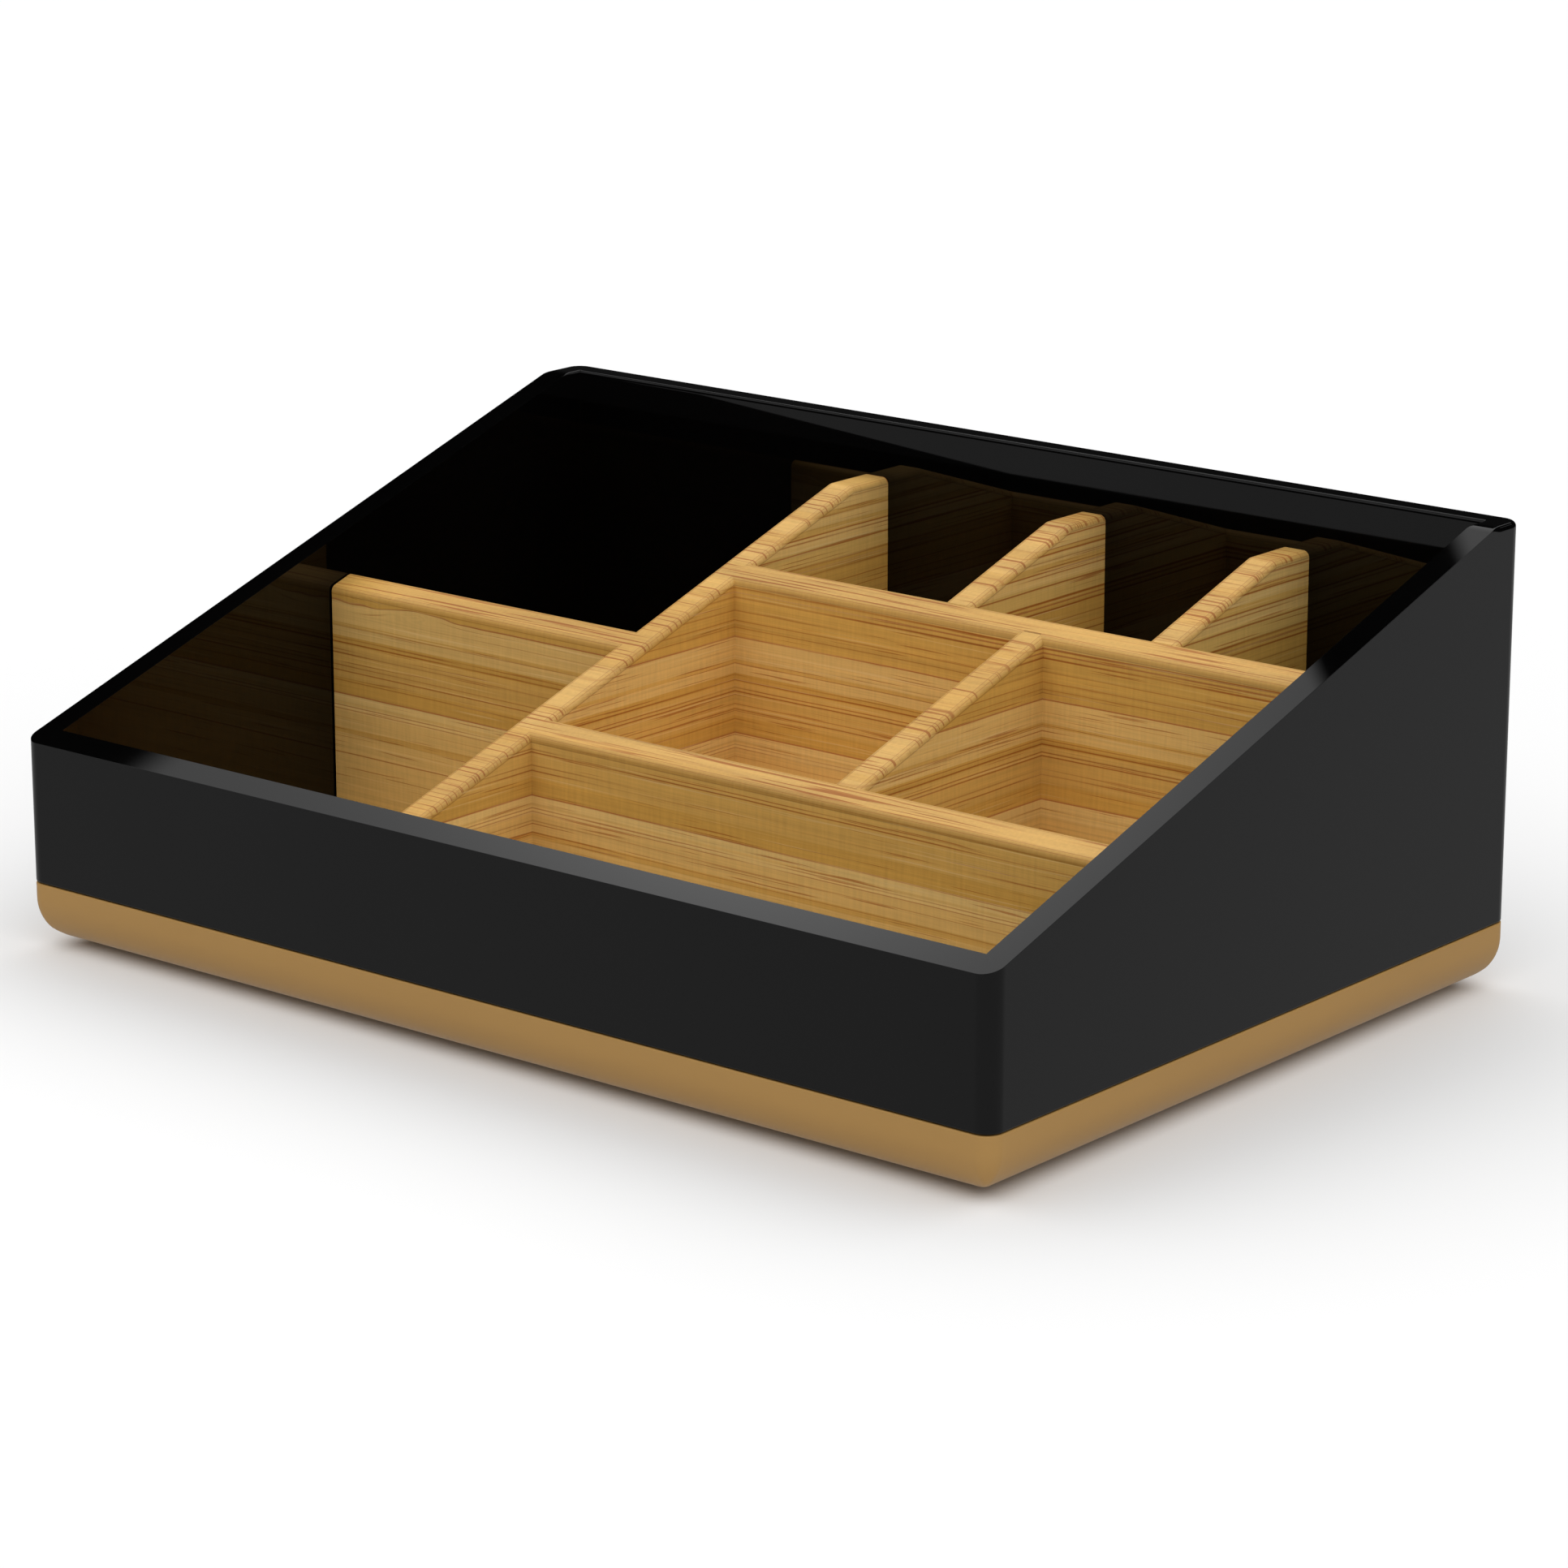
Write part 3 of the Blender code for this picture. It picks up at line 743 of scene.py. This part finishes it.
# Height of a line in millimetres, its half width in millimetres and its depth
grain_lines = (
    (26.0, 0.22, 0.8), (31.5, 0.16, 0.5), (34.2, 0.16, 0.5), (36.2, 0.20, 0.7), (37.0, 0.20, 0.7),
    (39.8, 0.28, 0.95), (42.9, 0.2, 0.6), (45.2, 0.24, 0.8), (46.4, 0.18, 0.6), (49.3, 0.24, 0.86),
    (50.1, 0.20, 0.8), (51.9, 0.26, 0.90), (52.9, 0.18, 0.6), (55.7, 0.18, 0.6), (58.9, 0.14, 0.4),
    (61.7, 0.28, 0.9), (63.8, 0.18, 0.6), (65.4, 0.20, 0.6), (67.6, 0.20, 0.6), (70.5, 0.30, 1.0),
    (71.6, 0.26, 0.95), (72.6, 0.34, 1.0), (75.9, 0.26, 0.9), (78.2, 0.24, 0.8), (79.1, 0.26, 0.9),
    (81.4, 0.18, 0.6), (82.8, 0.30, 0.95), (83.8, 0.22, 0.8), (86.0, 0.26, 0.9), (87.1, 0.24, 0.8),
)
print("bamboo:", len(layers), "layers and", len(grain_lines), "listed lines")

# %% [markdown]
# ## How the layers run
#
# No layer is quite straight. Slow noise bends them all, quick noise makes their edges uneven, and a knot
# in the left cross slat swirls them. Noise drawn out along the layers then breaks up the listed lines,
# so they fade in and out, and adds short dashes between them, in clusters.

# %% Bend the layers and draw the lines
# Waves in a metre along X, Y and Z, and how far each noise bends the layers in millimetres
slow_waves, slow_bend = (9.0, 9.0, 16.0), 1.5
quick_waves, quick_bend = (60.0, 60.0, 200.0), 0.25
knot_waves, knot_bend = (60.0, 60.0, 220.0), 9.0
knot_middle = (-0.103, 0.0, 0.0625)
knot_stretch = (38.0, 5.0, 260.0)
knot_fading = (0.2, 1.0)
# Waves in a metre along both ways that the layers run, and in a millimetre across them
fading_waves = (13.0, 13.0, 0.17)
cluster_waves, clustering = (9.0, 9.0, 0.15), 0.06
dash_waves, dash_depth = (34.0, 34.0, 2.4), 0.75
# Noise at which a line is weakest and at which it is whole, and how much of it is left there
faint_fading = (0.42, 0.53, 0.1, 0.95)
clear_fading = (0.34, 0.48, 0.45, 1.0)
cluster_start = (0.45, 0.60)
dash_start = (0.66, 0.74)
line_crispness = 1.3
unbroken_depth = 0.85


def bent(wood, level):
    """A level in millimetres, bent by noise and swirled at the knot."""
    level = wood.sway(level, wood.noise(wood.place, slow_waves, detail=1.0), slow_bend)
    level = wood.sway(level, wood.noise(wood.place, quick_waves), quick_bend)
    reach = wood.vector("MULTIPLY", wood.vector("SUBTRACT", wood.place, knot_middle), knot_stretch)
    swirl = wood.fit(wood.vector("LENGTH", reach), *knot_fading, knot_bend, 0.0)
    return wood.sway(level, wood.noise(wood.place, knot_waves, detail=1.0), swirl)


def drawn_lines(wood, grain, level, narrowing):
    """Depth of the lines, from 0 to 1: each is deepest at its height and gone half a width away."""
    faint, clear = 0.0, 0.0
    for height, half, depth in grain_lines:
        away = wood.math("ABSOLUTE", wood.math("SUBTRACT", level, height))
        away = wood.math("MULTIPLY", away, narrowing)
        peak = line_crispness * depth
        line = wood.math("MULTIPLY_ADD", away, -peak / half, peak, clamp=True)
        if depth < unbroken_depth:
            faint = wood.math("MAXIMUM", faint, line)
        else:
            clear = wood.math("MAXIMUM", clear, line)
    fading = wood.noise(grain, fading_waves)
    faint = wood.math("MULTIPLY", faint, wood.fit(fading, *faint_fading))
    clear = wood.math("MULTIPLY", clear, wood.fit(fading, *clear_fading))
    clusters = wood.fit(wood.noise(grain, cluster_waves, detail=1.0), *cluster_start)
    dashes = wood.math("MULTIPLY_ADD", clusters, clustering, wood.noise(grain, dash_waves, detail=1.0))
    dashes = wood.fit(dashes, *dash_start, 0.0, dash_depth)
    return wood.math("MAXIMUM", wood.math("MAXIMUM", faint, clear), dashes)


# %% [markdown]
# ## The slats' tops
#
# Some things belong to a slat's shape, not to its height. The flat top is painted a little darker and its
# rounded edges darker still, painted shade, and thin dark lines of painted shade run along them. Where a
# long slat's top slopes, the layers crop out as short strokes across it, in patches. A cross slat's top
# lies along one layer and stays nearly plain.
#
# The mesh's own UV map says how far a point lies past the flat top, measured across the section. Heights
# could not tell that, since the tops slope.

# %% Mark the slats' tops
# Where the flat, the marks on the top and the round end, in millimetres past the flat
flat_end = (-0.05, 0.05)
top_end = (1.6, 2.4)
narrowing_end = (1.4, 2.4)
round_end = (2.2, 2.5)
# Painted shade: factors that darken the flat top a little and its rounded edges more
painted_flat_shade = 0.88
painted_round_shade = 0.80
top_narrowing = 2.8
# Painted shade lines: thin dark lines along the rounded top edges, in millimetres past the flat
shade_line_places = (0.13, 0.95, 2.25)
shade_line_half_width = 0.12
stroke_fade = 0.4
# Waves in a metre: the strokes and patches go straight down, so they have none along Z
stroke_waves, stroke_depth = (28.0, 1500.0, 0.0), 0.85
patch_waves, patch_shade = (12.0, 110.0, 0.0), 0.45
stroke_start = (0.53, 0.62)
patch_start = (0.36, 0.50)


class Marks:
    """What a slat's shape adds to its bamboo. A plain board keeps these values.

    on_top is 1 on the top and 0 on the sides. shown and narrowing act on the listed lines, patches on the
    brightness, and tone is painted shade on the brightness of the top, its rounds and the sides.
    """

    on_top, strokes, hairlines, patches, patch_strength = 0.0, 0.0, 0.0, 0.5, 0.0
    shown, narrowing, tone = 1.0, 1.0, 1.0


def slat_marks(wood, top_lines, stroke_end, side_tone=1.0):
    """A slat's marks: top_lines is the share of the lines that shows on its top, stroke_end how far past
    the flat the strokes reach in millimetres, and the last a factor of painted shade that darkens its
    sides.
    """
    marks = Marks()
    across = wood.split(wood.add("ShaderNodeTexCoord").outputs["UV"])["X"]
    across = wood.math("DIVIDE", across, millimetre)
    marks.on_top = wood.fit(across, *top_end, 1.0, 0.0)
    marks.shown = wood.math("MULTIPLY_ADD", marks.on_top, top_lines - 1.0, 1.0)
    marks.narrowing = wood.fit(across, *narrowing_end, top_narrowing, 1.0)
    marks.patches = wood.noise(wood.place, patch_waves)
    marks.patch_strength = wood.math("MULTIPLY", marks.on_top, -patch_shade)
    strokes = wood.noise(wood.place, stroke_waves, detail=1.0)
    strokes = wood.fit(strokes, *stroke_start, 0.0, stroke_depth)
    strokes = wood.math("MULTIPLY", strokes, wood.fit(marks.patches, *patch_start))
    end = wood.fit(across, stroke_end - stroke_fade, stroke_end + stroke_fade, 1.0, 0.0)
    marks.strokes = wood.math("MULTIPLY", strokes, end)
    # Painted shade: the flat top and, more, its rounds are darkened against the sides, and the sides by a
    # factor
    tone = wood.fit(across, *flat_end, painted_flat_shade, painted_round_shade)
    tone = wood.math("MAXIMUM", tone, wood.fit(across, *round_end))
    marks.tone = wood.math("MINIMUM", tone, wood.fit(across, *round_end, 1.0, side_tone))
    # Painted shade: a thin dark line at each of these places along the rounds
    for place in shade_line_places:
        away = wood.math("ABSOLUTE", wood.math("SUBTRACT", across, place))
        hairline = wood.math("MULTIPLY_ADD", away, -1.0 / shade_line_half_width, 1.0, clamp=True)
        marks.hairlines = wood.math("MAXIMUM", marks.hairlines, hairline)
    return marks


# %% [markdown]
# ## The bamboo itself
#
# One function makes every bamboo, so all pieces share one wood. Each point's colour is its layer's tone,
# made lighter or darker by broad, fine and fibre-thin noise. The lines tint it red-brown and sink in a
# little, and a few pale flecks lie over it. The left cross slat's sides are painted a shade darker, painted
# shade, and the floor panel is a plain board with its layers side by side.

# %% Make the bamboo
line_tint = (0.56, 0.30, 0.20)
top_tone = (0.66, 0.372, 0.095)
shade_line_depth = 0.6
relief, relief_depth = 0.12, 0.08 * millimetre
roughness, line_roughness = 0.46, 0.12
broad_waves, broad_shade = (12.0, 12.0, 0.5), 0.34
fine_waves, fine_shade = (22.0, 22.0, 3.2), 0.36
fibre_waves, fibre_shade = (1300.0, 1300.0, 150.0), 0.20
fleck_colour = (0.82, 0.59, 0.27)
fleck_waves, fleck_depth = (20.0, 20.0, 2.1), 0.4
fleck_shift = (0.37, 0.61, 7.3)
fleck_start = (0.63, 0.73)
fold_start, fold_span = 22.0, 66.0


def bamboo(name, layer_axis, drift_axes, **slat):
    """Layered bamboo. Layers stack along one axis, and their lines run along the other two."""
    wood = Shading(name, IOR=1.45, Specular_IOR_Level=0.25)
    marks = slat_marks(wood, **slat) if slat else Marks()
    axes = wood.split(wood.place)
    level = bent(wood, layer_axis(wood, axes))
    grain = wood.add("ShaderNodeCombineXYZ")
    for socket, value in zip(grain.inputs, (axes[drift_axes[0]], axes[drift_axes[1]], level)):
        wood.plug(socket, value)
    grain = grain.outputs[0]

    span = layer_high - layer_low
    stops = [((height - layer_low) / span, tone) for height, tone in layers]
    colour = wood.ramp(wood.fit(level, layer_low, layer_high, smooth=False), stops, "CONSTANT")
    colour = wood.mix(wood.math("SUBTRACT", 1.0, marks.shown), colour, top_tone)

    fine = wood.noise(grain, fine_waves, detail=3.0, roughness=0.6)
    shade = wood.sway(1.0, wood.noise(grain, broad_waves, detail=3.0), broad_shade)
    shade = wood.sway(shade, fine, fine_shade)
    shade = wood.sway(shade, wood.noise(wood.place, fibre_waves, detail=1.0), fibre_shade)
    shade = wood.sway(shade, marks.patches, marks.patch_strength)
    colour = wood.vector("MULTIPLY", colour, wood.math("MULTIPLY", shade, marks.tone))

    lines = drawn_lines(wood, grain, level, marks.narrowing)
    lines = wood.math("MAXIMUM", wood.math("MULTIPLY", lines, marks.shown), marks.strokes)
    # Painted shade lines along the rounds, tinted like the grain lines
    lines = wood.math("MAXIMUM", lines, wood.math("MULTIPLY", marks.hairlines, shade_line_depth))
    colour = wood.mix(lines, colour, wood.mix(1.0, colour, line_tint, "MULTIPLY"))

    flecks = wood.noise(wood.vector("ADD", grain, fleck_shift), fleck_waves, detail=1.0)
    flecks = wood.fit(flecks, *fleck_start, 0.0, fleck_depth)
    flecks = wood.math("MULTIPLY", flecks, wood.math("SUBTRACT", 1.0, marks.on_top))
    colour = wood.mix(flecks, colour, fleck_colour)

    wood.bump(wood.math("SUBTRACT", fine, lines), relief, relief_depth)
    sheen = wood.math("MULTIPLY_ADD", lines, line_roughness, roughness)
    return wood.finish(Base_Color=colour, Roughness=sheen)


def stacked_upwards(wood, axes):
    """Layers stack along Z: the level is the height in millimetres."""
    return wood.math("DIVIDE", axes["Z"], millimetre)


def stacked_sideways(wood, axes):
    """Layers stand side by side along Y, folded back and forth within the list's range."""
    across = wood.math("DIVIDE", axes["Y"], millimetre)
    return wood.math("ADD", wood.math("PINGPONG", across, fold_span), fold_start)


along_slats = ("X", "Y")
long_slat_bamboo = bamboo("long_slat_bamboo", stacked_upwards, along_slats, top_lines=0.35, stroke_end=2.0)
cross_slat_bamboo = bamboo("cross_slat_bamboo", stacked_upwards, along_slats, top_lines=0.2, stroke_end=0.5)
# Painted shade: the left cross slat's sides are darkened by a factor
left_slat_shaded_bamboo = bamboo("left_slat_shaded_bamboo", stacked_upwards, along_slats, top_lines=0.2, stroke_end=0.5,
                          side_tone=0.90)
floor_bamboo = bamboo("floor_bamboo", stacked_sideways, ("X", "Z"))
print("bamboo for long slats, cross slats, the left slat and the floor")

# %% [markdown]
# ## The slats
#
# Seven slats make the grid. Their tops run parallel to the rim and go level at the back, and both long
# top edges are rounded. A slat that runs along X has the same section all the way. One that runs along
# Y has a section that grows taller towards the back.
#
# Where a slat ends in another, it runs on under the neighbour's rounded edge up to its flat top, so the
# two roundings meet in a mitre, as on the real grid. Against the rear wall the slats fit without a gap
# to see; the left cross slat stops a little short of its wall.

# %% Model the slats
slat_edge_radius = 1.5 * millimetre
slat_edge_steps = 10
bend_radius = 2.0 * millimetre
bend_steps = 6
cross_stations = 5
long_stations = 7
grid_bottom = long_low.z
slat_flat_top = long_high.z
divider_drop = 10.4 * millimetre
slat_front_top = seam_height + front_rim_height - divider_drop
bend_centre = -half_depth + (slat_flat_top - slat_front_top) / slope
bend_tangent = bend_radius * math.tan(slope_angle / 2)


def slat_top(y):
    """Height of a slat's top: the slope, then an arc tangent to it, then level."""
    sloped = slat_front_top + slope * (y + half_depth)
    drop = bend_radius ** 2 - np.clip(bend_centre + bend_tangent - y, 0, bend_radius) ** 2
    blended = slat_flat_top - bend_radius + np.sqrt(drop)
    return np.where(y < bend_centre - bend_tangent * math.cos(slope_angle), sloped, blended)


def distance_past_flat(section):
    """How far each point of a section lies past the flat top's nearer edge, and less than 0 on the flat.

    The way is measured along the section, which has as many points on one side of its middle as on the
    other. The last point of each round is a flat edge, and lies next to the two middle points.
    """
    way = np.concatenate([[0.0], np.cumsum(np.linalg.norm(np.diff(section, axis=0), axis=1))])
    middle = len(section) // 2
    return np.maximum(way[middle - 2] - way, way - way[middle + 1])


def cross_slat(x_low, x_high, low, high):
    """A slat along X: one section in Y and Z, with two rounded edges, carried from end to end."""
    y_low, y_high = low.y, high.y
    steepness = np.array([slope, -slope])
    depth, rise = rounded_edge(steepness, np.full(2, slat_edge_radius), slat_edge_steps)
    tops = slat_top(np.array([y_low, y_high]))
    section = [(y_low, grid_bottom), (y_low, tops[0] + rise[0, 0] - support)]
    section += list(zip(y_low + depth[0], tops[0] + rise[0]))
    for y in (y_low + depth[0, -1] + support, y_high - depth[1, -1] - support):
        section.append((y, float(slat_top(y))))
    section += list(zip(y_high - depth[1][::-1], tops[1] + rise[1][::-1]))
    section += [(y_high, tops[1] + rise[1, 0] - support), (y_high, grid_bottom)]
    section = np.array(section)
    stations = np.linspace(x_low, x_high, cross_stations)
    rings = np.empty((len(stations), len(section), 3))
    rings[:, :, 0] = stations[:, None]
    rings[:, :, 1:] = section[None]
    past = np.broadcast_to(distance_past_flat(section), rings.shape[:2])
    return grid_solid(rings), np.stack([past, rings[:, :, 0]], axis=-1).reshape(-1, 2)


def long_slat(y_low, y_high, low, high):
    """A slat along Y: at each station a section in X and Z, whose height follows the top."""
    x_low, x_high = low.x, high.x
    reach = 2 * bend_radius * slope
    bend = np.linspace(bend_centre - reach, bend_centre + reach, bend_steps + 1)
    stations = np.concatenate([np.linspace(y_low, y_high, long_stations), bend])
    stations = np.unique(stations[(stations >= y_low) & (stations <= y_high)])
    depth, rise = rounded_edge(np.zeros(1), np.full(1, slat_edge_radius), slat_edge_steps)
    depth, rise = depth[0], rise[0]
    inner = slat_edge_radius + support
    across = np.concatenate([[x_low, x_low], x_low + depth, [x_low + inner, x_high - inner],
                             x_high - depth[::-1], [x_high, x_high]])
    drop = np.concatenate([[rise[0] - support], rise, [0.0, 0.0], rise[::-1], [rise[0] - support]])
    tops = slat_top(stations)
    rings = np.empty((len(stations), len(across), 3))
    rings[:, :, 0] = across[None]
    rings[:, :, 1] = stations[:, None]
    rings[:, 1:-1, 2] = tops[:, None] + drop[None]
    rings[:, (0, -1), 2] = grid_bottom
    past = np.stack([distance_past_flat(ring[:, (0, 2)]) for ring in rings])
    return grid_solid(rings), np.stack([past, rings[:, :, 1]], axis=-1).reshape(-1, 2)


left_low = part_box("left_cross_divider")[0]
front_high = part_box("front_cross_divider")[1]
rear_low, rear_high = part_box("rear_cross_divider")
lap = slat_edge_radius
rear_end = long_high.y + 0.25 * millimetre
left_end = left_low.x + 0.1 * millimetre
left_joint, right_joint = long_low.x + lap, long_high.x - lap

# Each slat's own name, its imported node, its kind, where it starts and ends, and its wood
slats = (
    ("slat_long", "long_divider", long_slat, long_low.y, rear_end, long_slat_bamboo),
    ("slat_left_cross", "left_cross_divider", cross_slat, left_end, left_joint, left_slat_shaded_bamboo),
    ("slat_front_cross", "front_cross_divider", cross_slat, right_joint, front_high.x, cross_slat_bamboo),
    ("slat_rear_cross", "rear_cross_divider", cross_slat, right_joint, rear_high.x, cross_slat_bamboo),
    ("slat_middle_short", "middle_short_divider", long_slat, front_high.y - lap, rear_low.y + lap,
     long_slat_bamboo),
    ("fin_left", "rear_short_divider_left", long_slat, rear_high.y - lap, rear_end, long_slat_bamboo),
    ("fin_right", "rear_short_divider_right", long_slat, rear_high.y - lap, rear_end, long_slat_bamboo),
)
for name, node, kind, start, end, wood in slats:
    solid, flat_map = kind(start, end, *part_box(node))
    piece = add_surface(name, [solid], wood)
    corner_points = [corner for polygon in piece.data.polygons for corner in polygon.vertices]
    piece.data.uv_layers.new(name="section").data.foreach_set("uv", flat_map[corner_points].ravel())
    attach(piece, "divider_grid")
    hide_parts(node)

# %% [markdown]
# ## The hidden pieces
#
# The floor panel, the screws and the feet have the right shape already, so they keep their packed
# meshes and only get a finish: bamboo with its lines along X, plain turned steel, and matt rubber.

# %% Finish the floor panel, the screws and the feet
steel = Shading("turned_steel", Metallic=1.0)
turning = steel.noise(steel.place, (300.0, 300.0, 4000.0), detail=2.0)
steel_colour = steel.mix(turning, (0.42, 0.42, 0.43), (0.56, 0.56, 0.57))
turned_steel = steel.finish(Base_Color=steel_colour, Roughness=steel.fit(turning, 0.3, 0.7, 0.28, 0.42))

rubber = Shading("matt_rubber")
speckle = rubber.noise(rubber.place, (1800.0, 1800.0, 1800.0), detail=3.0)
rubber_colour = rubber.mix(speckle, (0.008, 0.008, 0.008), (0.02, 0.02, 0.02))
rubber.bump(speckle, 0.2, 0.05 * millimetre)
matt_rubber = rubber.finish(Base_Color=rubber_colour, Roughness=rubber.fit(speckle, 0.3, 0.7, 0.7, 0.85))

finishes = (("floor_panel", floor_bamboo), ("base_screw", turned_steel), ("foot", matt_rubber))
for node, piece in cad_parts.items():
    for start, material in finishes:
        if node.startswith(start):
            piece.material_slots[0].material = material
            print(node, "finished in", material.name)
